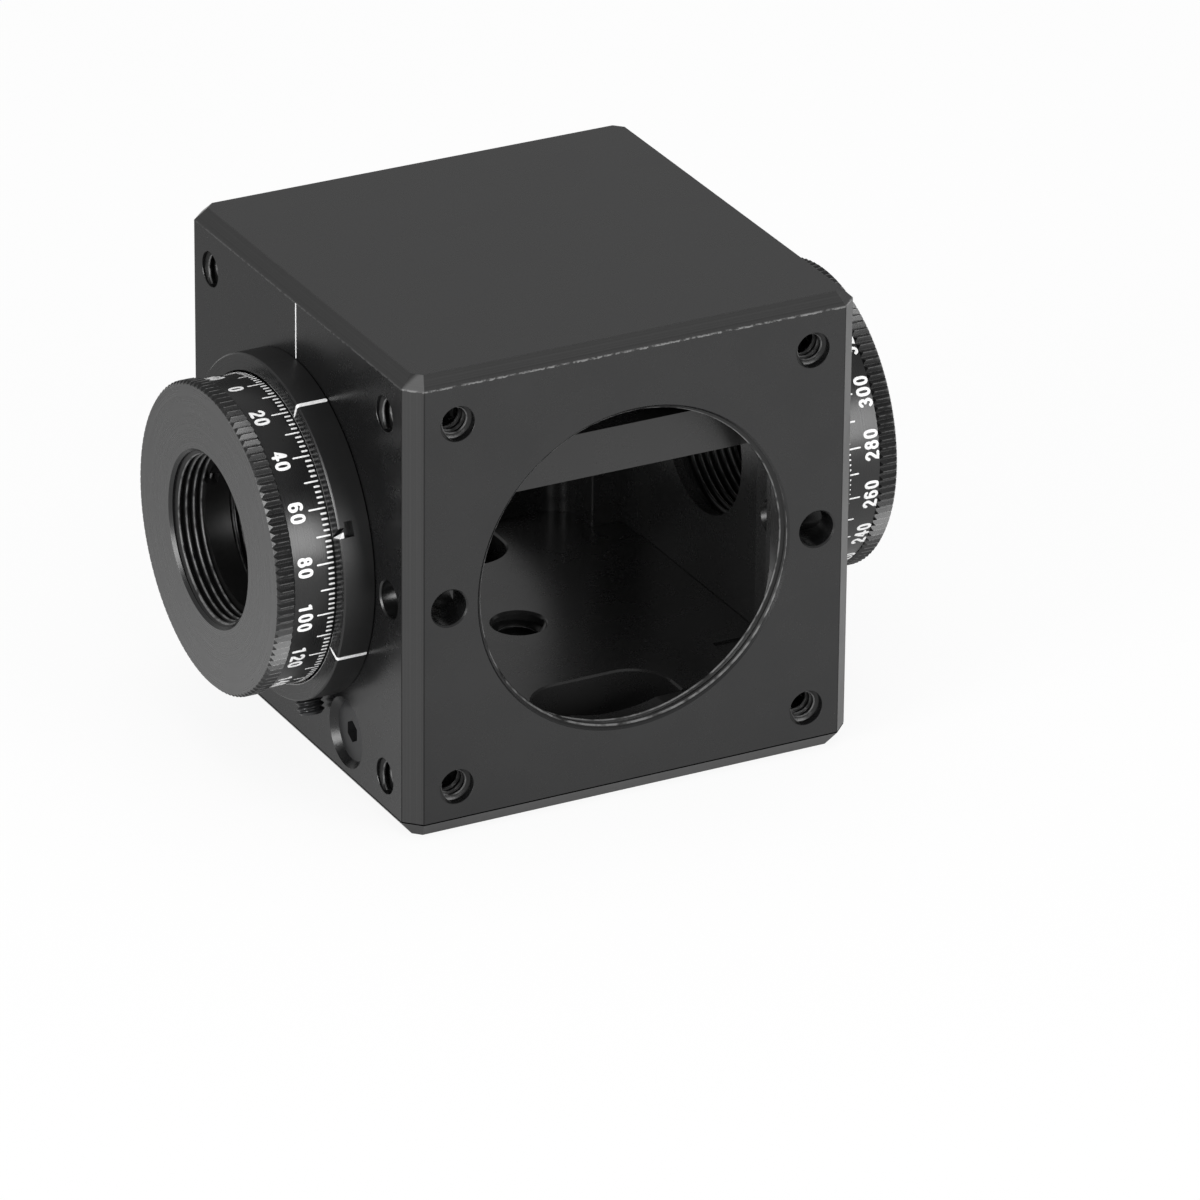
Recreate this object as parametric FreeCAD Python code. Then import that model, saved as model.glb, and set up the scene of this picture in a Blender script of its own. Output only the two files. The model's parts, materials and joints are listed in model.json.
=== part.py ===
"""Cage cube with two graduated rotation mounts, in millimetres.

The origin is on the underside, below the middle of the cube. +Z is up, the large threaded port
faces -Y, and the rotation mounts stand on the -X and +X faces. The light paths cross on the
optical axis, half the cube's side above the origin.
"""
import FreeCAD, Part
import math
import os

V = FreeCAD.Vector

# Cube
cube_side = 38.1
upright_chamfer = 1.27
top_chamfer = 0.97
bottom_chamfer_height = 1.33
bottom_chamfer_inset = 1.1
seam_width = 0.1
seam_depth = 0.05
side_wall = 3.05
port_wall = 1.4
roof = 2.6
post_side = 5.65
post_edge_break = 0.1
cavity_corner = 2.5
floor_thickness = 6.35
floor_step = 0.15

# Large threaded ports, front and back
port_radius = 13.15
port_lead = 0.15
port_relief = 0.2

# Cage rod holes and plain cross holes
cage_pitch = 30.0
rod_hole_radius = 1.42
rod_hole_lead = 0.03
cross_pitch = 31.3
cross_hole_radius = 1.45
cross_hole_lead = 0.12

# Base plate
base_neck_x = 23.5
base_neck_y = 20.0
base_end_wall = 3.05
base_gap = 0.05
post_hole_radius = 2.08
post_hole_lead = 0.2
relief_width = 11.5
relief_start = 10.9
relief_corner = 3.2
relief_depth = 4.0
relief_edge_break = 0.15

# Flat-head screws that hold the base plate through the side walls
floor_screw_edge = 1.65
floor_screw_cover = 1.6
floor_screw_radius = 1.42
floor_screw_head_step = 0.93
floor_screw_sink = 0.55
floor_screw_length = 6.3
floor_screw_tap_spare = 0.75
head_half_angle = 41.0
floor_hex = 1.5875
floor_hex_depth = 0.9
thread_gap = 0.02

# Pressure plate, its guide screws and springs
optic_side = 12.7
plate_thickness = 3.7
plate_front_gap = 2.65
plate_side_gap = 0.3
guide_pitch = 18.0
guide_radius = 1.2
guide_gap = 0.07
guide_thread_radius = 1.09
guide_thread_length = 1.9
guide_head_radius = 2.1
guide_head_thickness = 1.2
guide_head_gap = 0.15
guide_head_sink = 0.2
guide_hex = 1.27
guide_hex_depth = 0.7
spring_wire = 0.45
spring_mean_radius = 1.95
spring_turns = 5
spring_seat_gap = 0.03

# Light path through each side wall
side_bore_radius = 6.35

# Flange of a rotation mount. Heights along its axis are measured outwards from the cube's face.
flange_radius = 13.5
flange_rim = 1.38
flange_height = 2.6
flange_chamfer = 0.12
flange_inner_break = 0.06
flange_floor = 0.5
flange_web = 1.2
spigot_radius = 11.2
spigot_wall = 0.65
spigot_cover = 0.1
spigot_end_gap = 0.05
dial_side_gap = 0.12

# Pointer window in the flange
window_turn = 66.0
window_end_turn = 71.2
window_low = 1.42
window_high = 2.1
window_depth = 0.9

# Dial
dial_height = 7.5
hub_room = 1.05
hub_gap = 0.05
hub_thread_step = 0.6
bore_radius = 6.8
bore_lead = 0.25
bore_groove_depth = 0.25
bore_groove_width = 0.6
bore_outer_stretch = 2.4
knurl_rise = 0.25
knurl_sink = 0.07
knurl_width = 1.5
knurl_teeth = 120
knurl_front_chamfer = 0.25
knurl_rear_chamfer = 0.2

# Washers and keeper ring behind the flange's web
slip_thickness = 0.25
spring_space = 0.35
disc_thickness = 0.15
washer_gap = 0.1
keeper_thickness = 0.8
keeper_side_gap = 0.15
keeper_slot_width = 1.0
keeper_slot_depth = 0.35

# Slotted optic retaining ring in the bore
ring_width = 2.0
ring_wall = 0.85
ring_slot_width = 1.2
ring_slot_depth = 0.9
ring_slot_turn = 112.5

# Lock screw in the flange's rim and its soft tip
lock_turn = 160.0
lock_radius = 1.09
lock_stand_out = 1.25
lock_tip_radius = 0.7
lock_tip_length = 0.6
lock_tip_gap = 0.03
lock_hex = 0.889
lock_hex_depth = 0.9

# Worked out from the sizes above
half = cube_side / 2
axis_z = half
cavity_x = half - side_wall
cavity_y = half - port_wall
base_y = half - base_end_wall
post_face = half - post_side
ceiling_z = cube_side - roof
plate_z = axis_z + optic_side / 2
plate_top_z = plate_z + plate_thickness
floor_screw_pitch = base_neck_y - 2 * floor_screw_edge
floor_screw_height = floor_thickness - floor_screw_cover
floor_screw_head_radius = floor_screw_radius + floor_screw_head_step
floor_screw_tap = floor_screw_sink + floor_screw_length + floor_screw_tap_spare
dial_radius = flange_radius - flange_rim - dial_side_gap
hub_radius = spigot_radius - spigot_wall - hub_room
web_low = flange_floor - flange_web
spring_low = web_low - slip_thickness - spring_space
hub_end = spring_low - keeper_thickness
spigot_length = spigot_cover - hub_end
lock_height = flange_height / 2
over = 1.0


def turned(profile, centre=V(0, 0, 0), axis=V(0, 0, 1)):
    """A solid turned about +Z at the origin, from (radius, height) points, then laid on an axis."""
    points = [V(radius, 0, height) for radius, height in profile]
    face = Part.Face(Part.makePolygon(points + points[:1]))
    solid = face.revolve(V(0, 0, 0), V(0, 0, 1), 360)
    solid.Placement = FreeCAD.Placement(centre, FreeCAD.Rotation(V(0, 0, 1), axis))
    return solid


def prism(points, low, high):
    """A closed outline of (x, y) points, raised from one height to another."""
    corners = [V(x, y, low) for x, y in points]
    face = Part.Face(Part.makePolygon(corners + corners[:1]))
    return face.extrude(V(0, 0, high - low))


def block(x, y, z):
    """A box from (low, high) pairs."""
    box = Part.makeBox(x[1] - x[0], y[1] - y[0], z[1] - z[0])
    box.translate(V(x[0], y[0], z[0]))
    return box


def upright_edges(solid):
    """The edges of a prism that run along Z."""
    return [edge for edge in solid.Edges if abs(edge.tangentAt(edge.FirstParameter).z) > 0.99]


def cross(long_x, long_y, short_x, short_y, low, high):
    """A plus-shaped prism: one box reaches long_x, the other long_y and has rounded corners."""
    one = block((-long_x, long_x), (-short_y, short_y), (low, high))
    other = block((-short_x, short_x), (-long_y, long_y), (low, high))
    other = other.makeFillet(cavity_corner, upright_edges(other))
    return one.fuse(other).removeSplitter()


def outline(inset):
    """The cube's plan with cut corners, moved inwards all round."""
    side = half - inset
    corner = (2 * half - upright_chamfer) - math.sqrt(2) * inset - side
    quarter = [(corner, -side), (side, -corner)]
    points = []
    for k in range(4):
        turn = math.radians(90 * k)
        points += [(x * math.cos(turn) - y * math.sin(turn), x * math.sin(turn) + y * math.cos(turn))
                   for x, y in quarter]
    return points


def stacked(levels):
    """A solid with flat sides through (height, outline) levels, from the lowest to the highest."""
    rings = [[V(x, y, height) for x, y in points] for height, points in levels]
    faces = [Part.Face(Part.makePolygon(ring + ring[:1])) for ring in (rings[0], rings[-1])]
    for low, high in zip(rings, rings[1:]):
        for k in range(len(low)):
            corners = [low[k - 1], low[k], high[k], high[k - 1], low[k - 1]]
            faces.append(Part.Face(Part.makePolygon(corners)))
    solid = Part.makeSolid(Part.makeShell(faces))
    if solid.Volume < 0:
        solid.reverse()
    return solid


def hexagon(across_flats, depth):
    """A hexagonal key socket, from the origin down along -Z."""
    corner = across_flats / 2 / math.cos(math.pi / 6)
    points = [(corner * math.cos(math.radians(60 * k)), corner * math.sin(math.radians(60 * k)))
              for k in range(6)]
    return prism(points, -depth, over)


def drill(mouth, inward, radius, depth, lead):
    """A round hole with a chamfered mouth, from a point on a face, as a tool to cut with."""
    profile = [(0, -over), (radius + lead, -over), (radius + lead, 0), (radius, lead),
               (radius, depth), (0, depth)]
    return turned(profile, mouth, inward)


def face_normals():
    """The outward normals of the four port faces."""
    return [V(0, -1, 0), V(0, 1, 0), V(-1, 0, 0), V(1, 0, 0)]


def face_point(normal, across, height):
    """A point on a port face: a distance sideways from its middle, at a height."""
    sideways = V(normal.y, normal.x, 0)
    return normal * half + sideways * across + V(0, 0, height)


def guide_points():
    """The places of the two guide screws."""
    return [(side * guide_pitch / 2, 0) for side in (-1, 1)]


def floor_screw_places():
    """Mouth and inward direction of each base plate screw."""
    places = []
    for side in (-1, 1):
        for across in (-1, 1):
            mouth = V(side * half, across * floor_screw_pitch / 2, floor_screw_height)
            places.append((mouth, V(-side, 0, 0)))
    return places


def floor_screw_cone():
    """Radius of the countersink's mouth, and its depth down to the screw's own radius."""
    slope = math.tan(math.radians(head_half_angle))
    mouth_radius = floor_screw_head_radius + floor_screw_sink * slope
    return mouth_radius, (mouth_radius - floor_screw_radius) / slope


def cube_body():
    """The one-piece body: walls, roof, corner posts and the blocks beside the base plate."""
    body = stacked([
        (0, outline(bottom_chamfer_inset)),
        (bottom_chamfer_height, outline(0)),
        (bottom_chamfer_height + seam_width / 2, outline(seam_depth)),
        (bottom_chamfer_height + seam_width, outline(0)),
        (cube_side - top_chamfer, outline(0)),
        (cube_side, outline(top_chamfer)),
    ])
    floor_z = floor_thickness - floor_step
    tools = [
        cross(cavity_x, cavity_y, post_face, post_face, floor_z, ceiling_z),
        cross(cavity_x, base_y, base_neck_x / 2, base_neck_y / 2, -over, floor_z + over),
    ]
    for x in (-post_face, post_face):
        for y in (-post_face, post_face):
            broken = [(x + post_edge_break, y), (x, y + post_edge_break),
                      (x - post_edge_break, y), (x, y - post_edge_break)]
            tools.append(prism(broken, floor_z, ceiling_z))
    for normal in face_normals():
        for across in (-1, 1):
            for up in (-1, 1):
                mouth = face_point(normal, across * cage_pitch / 2, axis_z + up * cage_pitch / 2)
                tools.append(drill(mouth, -normal, rod_hole_radius, post_side, rod_hole_lead))
            mouth = face_point(normal, across * cross_pitch / 2, axis_z)
            tools.append(drill(mouth, -normal, cross_hole_radius, post_side, cross_hole_lead))
    for normal in (V(0, -1, 0), V(0, 1, 0)):
        mouth = face_point(normal, 0, axis_z)
        tools.append(drill(mouth, -normal, port_radius, port_wall, port_lead))
        relieved = port_radius + port_relief
        tools.append(turned([(0, port_wall), (relieved, port_wall), (relieved, base_end_wall),
                             (0, base_end_wall)], mouth, -normal))
    for normal in (V(-1, 0, 0), V(1, 0, 0)):
        mouth = face_point(normal, 0, axis_z)
        tools.append(drill(mouth, -normal, side_bore_radius, side_wall + over, 0))
        seat_depth = spigot_length + spigot_end_gap
        tools.append(drill(mouth, -normal, spigot_radius + thread_gap, seat_depth, 0))
    mouth_radius, cone_depth = floor_screw_cone()
    for mouth, inward in floor_screw_places():
        profile = [(0, -over), (mouth_radius, -over), (mouth_radius, 0),
                   (floor_screw_radius + thread_gap, cone_depth),
                   (floor_screw_radius + thread_gap, side_wall + over), (0, side_wall + over)]
        tools.append(turned(profile, mouth, inward))
    for x, y in guide_points():
        radius = guide_thread_radius + thread_gap
        tools.append(drill(V(x, y, ceiling_z), V(0, 0, 1), radius, guide_thread_length + thread_gap, 0))
    return body.cut(tools)


def relief_outline(side):
    """The relief pocket at one end: open at the plate's edge, with rounded inner corners."""
    pocket = block((-relief_width / 2, relief_width / 2), (relief_start, base_y + over),
                   (floor_thickness - relief_depth, floor_thickness))
    corners = [edge for edge in upright_edges(pocket) if edge.CenterOfMass.y < relief_start + over / 10]
    pocket = pocket.makeFillet(relief_corner, corners)
    rim = max(pocket.Faces, key=lambda face: face.CenterOfMass.z)
    grown = rim.makeOffset2D(relief_edge_break)
    lower = rim.copy()
    lower.translate(V(0, 0, -relief_edge_break))
    flare = Part.makeLoft([lower.OuterWire, grown.OuterWire], True, True)
    pocket = pocket.fuse(flare)
    if side < 0:
        pocket.rotate(V(0, 0, 0), V(0, 0, 1), 180)
    return pocket


def base_plate():
    """The floor, a plus-shaped plate let in from below, with the tapped post hole."""
    plate = cross(cavity_x - base_gap, base_y - base_gap, base_neck_x / 2 - base_gap,
                  base_neck_y / 2 - base_gap, 0, floor_thickness)
    through = floor_thickness + over
    tools = [
        drill(V(0, 0, 0), V(0, 0, 1), post_hole_radius, through, post_hole_lead),
        drill(V(0, 0, floor_thickness), V(0, 0, -1), post_hole_radius, through, post_hole_lead),
        relief_outline(1),
        relief_outline(-1),
    ]
    for mouth, inward in floor_screw_places():
        tools.append(drill(mouth, inward, floor_screw_radius + thread_gap, floor_screw_tap, 0))
    return plate.cut(tools)


def floor_screw(mouth, inward):
    """One flat-head screw, its head sunk below the face, its socket open outwards."""
    _, cone_depth = floor_screw_cone()
    end = floor_screw_sink + floor_screw_length
    slope = math.tan(math.radians(head_half_angle))
    head_end = floor_screw_sink + (floor_screw_head_radius - floor_screw_radius) / slope
    tip = floor_screw_radius / 3
    profile = [(0, floor_screw_sink), (floor_screw_head_radius, floor_screw_sink),
               (floor_screw_radius, min(head_end, cone_depth)), (floor_screw_radius, end - tip),
               (floor_screw_radius - tip, end), (0, end)]
    screw = turned(profile)
    socket = hexagon(floor_hex, floor_hex_depth)
    socket.rotate(V(0, 0, 0), V(1, 0, 0), 180)
    socket.translate(V(0, 0, floor_screw_sink))
    screw = screw.cut(socket)
    screw.Placement = FreeCAD.Placement(mouth, FreeCAD.Rotation(V(0, 0, 1), inward))
    return screw


def pressure_plate():
    """The plate above the optic, notched round the corner posts and bored for its guides."""
    reach_x = cavity_x - plate_side_gap
    reach_y = cavity_y - plate_front_gap
    notch = post_face - plate_side_gap
    plate = block((-reach_x, reach_x), (-notch, notch), (plate_z, plate_top_z))
    other = block((-notch, notch), (-reach_y, reach_y), (plate_z, plate_top_z))
    plate = plate.fuse(other).removeSplitter()
    tools = []
    for x, y in guide_points():
        depth = guide_head_thickness + guide_head_sink
        tools.append(drill(V(x, y, plate_z), V(0, 0, 1), guide_head_radius + guide_head_gap, depth, 0))
        tools.append(drill(V(x, y, plate_z), V(0, 0, 1), guide_radius + guide_gap,
                           plate_thickness + over, 0))
    return plate.cut(tools)


def guide_screw(x, y):
    """A shoulder screw that hangs from the roof and carries the plate on its head."""
    head_z = plate_z + guide_head_sink
    shoulder_z = head_z + guide_head_thickness
    profile = [(0, head_z), (guide_head_radius, head_z), (guide_head_radius, shoulder_z),
               (guide_radius, shoulder_z), (guide_radius, ceiling_z),
               (guide_thread_radius, ceiling_z), (guide_thread_radius, ceiling_z + guide_thread_length),
               (0, ceiling_z + guide_thread_length)]
    screw = turned(profile)
    socket = hexagon(guide_hex, guide_hex_depth)
    socket.rotate(V(0, 0, 0), V(1, 0, 0), 180)
    socket.translate(V(0, 0, head_z))
    screw = screw.cut(socket)
    screw.translate(V(x, y, 0))
    return screw


def plate_spring(x, y):
    """A coil spring between the plate and the roof, round its guide screw."""
    low = plate_top_z + spring_wire / 2 + spring_seat_gap
    rise = ceiling_z - plate_top_z - spring_wire - 2 * spring_seat_gap
    coil = Part.Wire(Part.makeHelix(rise / spring_turns, rise, spring_mean_radius).Edges)
    section = Part.makeCircle(spring_wire / 2, V(spring_mean_radius, 0, 0), V(0, 1, 0))
    spring = coil.makePipeShell([Part.Wire(section)], True, True)
    spring.translate(V(x, y, low))
    return spring


def radial(turn, height, solid):
    """Lays a solid, drawn along +Z, on the radius at an angle clockwise from the top."""
    angle = -math.radians(turn)
    outward = V(math.cos(angle), math.sin(angle), 0)
    solid.Placement = FreeCAD.Placement(V(0, 0, height), FreeCAD.Rotation(V(0, 0, 1), outward))
    return solid


def polar(radius, turn):
    """A point in the mount's own plane, at an angle clockwise from the top."""
    angle = -math.radians(turn)
    return radius * math.cos(angle), radius * math.sin(angle)


def flange():
    """The fixed collar: a spigot in the cube's wall, a web that bears the hub, a rim."""
    inner = dial_radius + dial_side_gap
    pocket = spigot_radius - spigot_wall
    profile = [(hub_radius + hub_gap, flange_floor), (inner, flange_floor),
               (inner, flange_height - flange_inner_break), (inner + flange_inner_break, flange_height),
               (flange_radius - flange_chamfer, flange_height),
               (flange_radius, flange_height - flange_chamfer), (flange_radius, 0),
               (spigot_radius, 0), (spigot_radius, -spigot_length), (pocket, -spigot_length),
               (pocket, web_low), (hub_radius + hub_gap, web_low)]
    body = turned(profile)
    hole = Part.makeCylinder(lock_radius + thread_gap, flange_radius + over - dial_radius,
                             V(0, 0, dial_radius))
    width = flange_radius * math.radians(window_end_turn - window_turn)
    window = block((flange_radius - window_depth, flange_radius + over), (-width / 2, width / 2),
                   (window_low, window_high))
    window.rotate(V(0, 0, 0), V(0, 0, 1), -(window_turn + window_end_turn) / 2)
    notch = prism([polar(flange_radius + over, window_turn), polar(flange_radius + over, window_end_turn),
                   polar(dial_radius, window_end_turn)], window_high, flange_height + over)
    return body.cut([radial(lock_turn, lock_height, hole), window, notch])


def knurl():
    """The straight-knurled rim: V teeth all round, cut off by a chamfer at each end."""
    base = dial_height - knurl_width
    step = math.pi / knurl_teeth
    crest = dial_radius + knurl_rise
    root = dial_radius - knurl_sink
    outline = []
    for k in range(knurl_teeth):
        angle = 2 * step * k
        outline.append((crest * math.cos(angle), crest * math.sin(angle)))
        angle += step
        outline.append((root * math.cos(angle), root * math.sin(angle)))
    envelope = turned([(0, base), (crest - knurl_rear_chamfer, base), (crest, base + knurl_rear_chamfer),
                       (crest, dial_height - knurl_front_chamfer),
                       (crest - knurl_front_chamfer, dial_height), (0, dial_height)])
    return prism(outline, base, dial_height).common(envelope)


def dial():
    """The rotating dial: scale band, knurled rim, hub through the flange, threaded bore."""
    base = dial_height - knurl_width
    hub_thread = hub_radius - hub_thread_step
    body = turned([(0, hub_end), (hub_thread, hub_end), (hub_thread, spring_low),
                   (hub_radius, spring_low), (hub_radius, flange_floor), (dial_radius, flange_floor),
                   (dial_radius, base), (0, base)])
    groove = bore_radius + bore_groove_depth
    groove_high = dial_height - bore_lead - bore_outer_stretch
    groove_low = groove_high - bore_groove_width
    bore = turned([(0, hub_end - over), (bore_radius, hub_end - over), (bore_radius, groove_low),
                   (groove, groove_low), (groove, groove_high), (bore_radius, groove_high),
                   (bore_radius, dial_height - bore_lead), (bore_radius + bore_lead, dial_height),
                   (bore_radius + bore_lead, dial_height + over), (0, dial_height + over)])
    return body.fuse(knurl()).removeSplitter().cut(bore)


def optic_ring():
    """The slotted ring that screws down the bore on the optic."""
    high = dial_height - bore_lead - bore_outer_stretch
    low = high - ring_width
    outer = bore_radius - hub_gap
    opening = outer - ring_wall
    ring = turned([(opening, low), (outer, low), (outer, high), (opening, high)])
    slot = block((-bore_radius, bore_radius), (-ring_slot_width / 2, ring_slot_width / 2),
                 (high - ring_slot_depth, high + over))
    slot.rotate(V(0, 0, 0), V(0, 0, 1), -ring_slot_turn)
    return ring.cut(slot)


def slip_washer():
    """The flat plastic washer behind the flange's web."""
    low = web_low - slip_thickness
    inner = hub_radius + washer_gap
    outer = spigot_radius - spigot_wall - washer_gap
    return turned([(inner, low), (outer, low), (outer, web_low), (inner, web_low)])


def disc_spring():
    """The coned spring washer between the slip washer and the keeper ring."""
    high = web_low - slip_thickness
    inner = hub_radius + washer_gap
    outer = spigot_radius - spigot_wall - 2 * washer_gap
    return turned([(inner, spring_low), (outer, high - disc_thickness), (outer, high),
                   (inner, spring_low + disc_thickness)])


def keeper_ring():
    """The ring screwed on the hub's end, with two slots for its spanner."""
    inner = hub_radius - hub_thread_step + thread_gap
    outer = spigot_radius - spigot_wall - keeper_side_gap
    ring = turned([(inner, hub_end), (outer, hub_end), (outer, spring_low), (inner, spring_low)])
    slot = block((-spigot_radius, spigot_radius), (-keeper_slot_width / 2, keeper_slot_width / 2),
                 (hub_end - over, hub_end + keeper_slot_depth))
    return ring.cut(slot)


def lock_screw():
    """The set screw in the flange's rim, its key socket open outwards."""
    low = dial_radius + lock_tip_gap + lock_tip_length
    high = flange_radius + lock_stand_out
    screw = Part.makeCylinder(lock_radius, high - low, V(0, 0, low))
    socket = hexagon(lock_hex, lock_hex_depth)
    socket.translate(V(0, 0, high))
    return radial(lock_turn, lock_height, screw.cut(socket))


def lock_tip():
    """The soft pad on the lock screw's end, just clear of the dial."""
    low = dial_radius + lock_tip_gap
    return radial(lock_turn, lock_height, Part.makeCylinder(lock_tip_radius, lock_tip_length, V(0, 0, low)))


def on_side(solid, side):
    """Stands a piece of a mount on the cube's face: side -1 is the left face, 1 the right."""
    outward = V(side, 0, 0)
    up = V(0, 0, 1)
    turn = FreeCAD.Rotation(up, outward.cross(up), outward, "ZXY")
    place = FreeCAD.Placement(V(side * half, 0, axis_z), turn)
    done = solid.copy()
    done.Placement = place.multiply(solid.Placement)
    return done


def main():
    nodes = {
        "cube_body": cube_body(),
        "base_plate": base_plate(),
        "base_plate_screws": Part.makeCompound([floor_screw(*place) for place in floor_screw_places()]),
        "pressure_plate": pressure_plate(),
        "plate_guide_screws": Part.makeCompound([guide_screw(*point) for point in guide_points()]),
        "plate_springs": Part.makeCompound([plate_spring(*point) for point in guide_points()]),
    }
    mount = {
        "flange": flange(),
        "dial": dial(),
        "optic_ring": optic_ring(),
        "slip_washer": slip_washer(),
        "disc_spring": disc_spring(),
        "keeper_ring": keeper_ring(),
        "lock_screw": lock_screw(),
        "lock_tip": lock_tip(),
    }
    for name, solid in mount.items():
        nodes["left_" + name] = on_side(solid, -1)
        nodes["right_" + name] = on_side(solid, 1)
    os.makedirs("parts", exist_ok=True)
    for name, shape in nodes.items():
        shape.exportStep("parts/" + name + ".step")
        print(name, shape.isValid(), len(shape.Solids), round(shape.Volume, 2))


main()
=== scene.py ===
import json
from math import cos, pi, radians, sin, sqrt

import bpy
import numpy as np
from mathutils import Matrix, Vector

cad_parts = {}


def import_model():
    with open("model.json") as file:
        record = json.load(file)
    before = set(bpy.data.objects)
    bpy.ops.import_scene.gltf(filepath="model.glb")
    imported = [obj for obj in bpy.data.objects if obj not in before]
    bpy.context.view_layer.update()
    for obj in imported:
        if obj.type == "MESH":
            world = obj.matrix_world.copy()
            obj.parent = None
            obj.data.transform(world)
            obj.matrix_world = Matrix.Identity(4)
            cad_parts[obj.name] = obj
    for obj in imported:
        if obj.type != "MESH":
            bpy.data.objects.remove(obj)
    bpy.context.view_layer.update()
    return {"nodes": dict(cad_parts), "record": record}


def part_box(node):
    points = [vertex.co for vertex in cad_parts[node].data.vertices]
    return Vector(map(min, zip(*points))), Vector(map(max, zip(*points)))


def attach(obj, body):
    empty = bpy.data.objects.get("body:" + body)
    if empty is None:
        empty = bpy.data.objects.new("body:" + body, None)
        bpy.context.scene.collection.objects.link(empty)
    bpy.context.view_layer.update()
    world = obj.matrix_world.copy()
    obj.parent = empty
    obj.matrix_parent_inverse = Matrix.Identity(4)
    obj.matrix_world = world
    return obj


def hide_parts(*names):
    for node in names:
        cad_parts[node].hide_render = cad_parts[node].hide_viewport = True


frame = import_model()

# Lengths are in metres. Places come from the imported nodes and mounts, and fine sizes are given in mm.
mm = 0.001
mounts = {mount["name"]: mount for mount in frame["record"]["mounts"]}
cube_low, cube_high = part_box("cube_body")
half = cube_high.x
axis_z = (cube_low.z + cube_high.z) / 2
centre = (0, 0, axis_z)
top_chamfer = 0.97 * mm
upright_chamfer = 1.27 * mm
bottom_chamfer = 1.1 * mm
bottom_chamfer_rise = 1.33 * mm
seam_width = 0.1 * mm
port_wall = 1.4 * mm
flange_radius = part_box("right_flange")[1].y
flange_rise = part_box("right_flange")[1].x - half
knurl_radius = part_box("right_dial")[1].z - axis_z
band_radius = knurl_radius - 0.25 * mm
dial_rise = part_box("right_dial")[1].x - half
hub_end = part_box("right_dial")[0].x - half
lock_turn = 160
window_turn = 71.2
flange_mark_turns = (24, 116)

# Threads: pitches, the depth of the flank in shares of the pitch, and the degrees at which two begin
fine_pitch = 25.4 * mm / 40
post_pitch = 25.4 * mm / 32
lock_pitch = 25.4 * mm / 56
flank_share = 0.54
port_thread_turn = 120.6
bore_thread_turn = 257.2
crest_marks = np.array([0, 0, 0, 0.5, 0.9, 1, 1, 0, 0])

# Lock screw: its socket, and how far it reaches beyond the dial's band and the flange's rim
socket_width = 0.889 * mm
socket_depth = 0.9 * mm
screw_foot = 0.63 * mm
screw_head = 1.25 * mm

# White marks
paint_lift = 0.012 * mm
paint_sink = 0.05 * mm
scale_slide = {-1: 0.0, 1: 0.3 * mm}
scale_turn = {-1: 0.0, 1: 1.0}

# Finishes: the soft step at the edge of a face, grey levels of painted shade and of rubbed edges with painted
# highlights, and the refractive index of the coat
edge_step = (-0.03 * mm, -0.01 * mm)
painted_shade_level = 0.001
rub_and_highlight_level = 0.16
coat_index = 1.5

# Camera, in pixels of a 1200 pixel frame and millimetres from the cube's centre
frame_pixels = 1200
focal_pixels = 9561.9
camera_azimuth = -27.872
camera_elevation = 25.488
camera_roll = 0.556
camera_distance = 735.54 * mm
camera_right = 6.192 * mm
camera_up = -9.696 * mm


class Value:
    """A socket of a finish's nodes, wrapped so that arithmetic on it adds Math nodes."""

    def __init__(self, finish, socket):
        self.finish = finish
        self.socket = socket

    def maths(self, operation, *values):
        inputs = dict(enumerate(values))
        return self.finish.node("ShaderNodeMath", {"operation": operation}, inputs)

    def __add__(self, other):
        return self.maths("ADD", self, other)

    def __radd__(self, other):
        return self.maths("ADD", other, self)

    def __sub__(self, other):
        return self.maths("SUBTRACT", self, other)

    def __rsub__(self, other):
        return self.maths("SUBTRACT", other, self)

    def __mul__(self, other):
        return self.maths("MULTIPLY", self, other)

    def __truediv__(self, other):
        return self.maths("DIVIDE", self, other)

    def __neg__(self):
        return self.maths("MULTIPLY", self, -1)

    def __abs__(self):
        return self.maths("ABSOLUTE", self)

    def least(self, other):
        return self.maths("MINIMUM", self, other)

    def most(self, other):
        return self.maths("MAXIMUM", self, other)

    def root(self):
        return self.maths("SQRT", self)

    def rise(self, low, high):
        """0 below low, 1 above high, and a smooth step between them."""
        settings = {"interpolation_type": "SMOOTHSTEP"}
        inputs = {"Value": self, "From Min": low, "From Max": high}
        return self.finish.node("ShaderNodeMapRange", settings, inputs)


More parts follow.
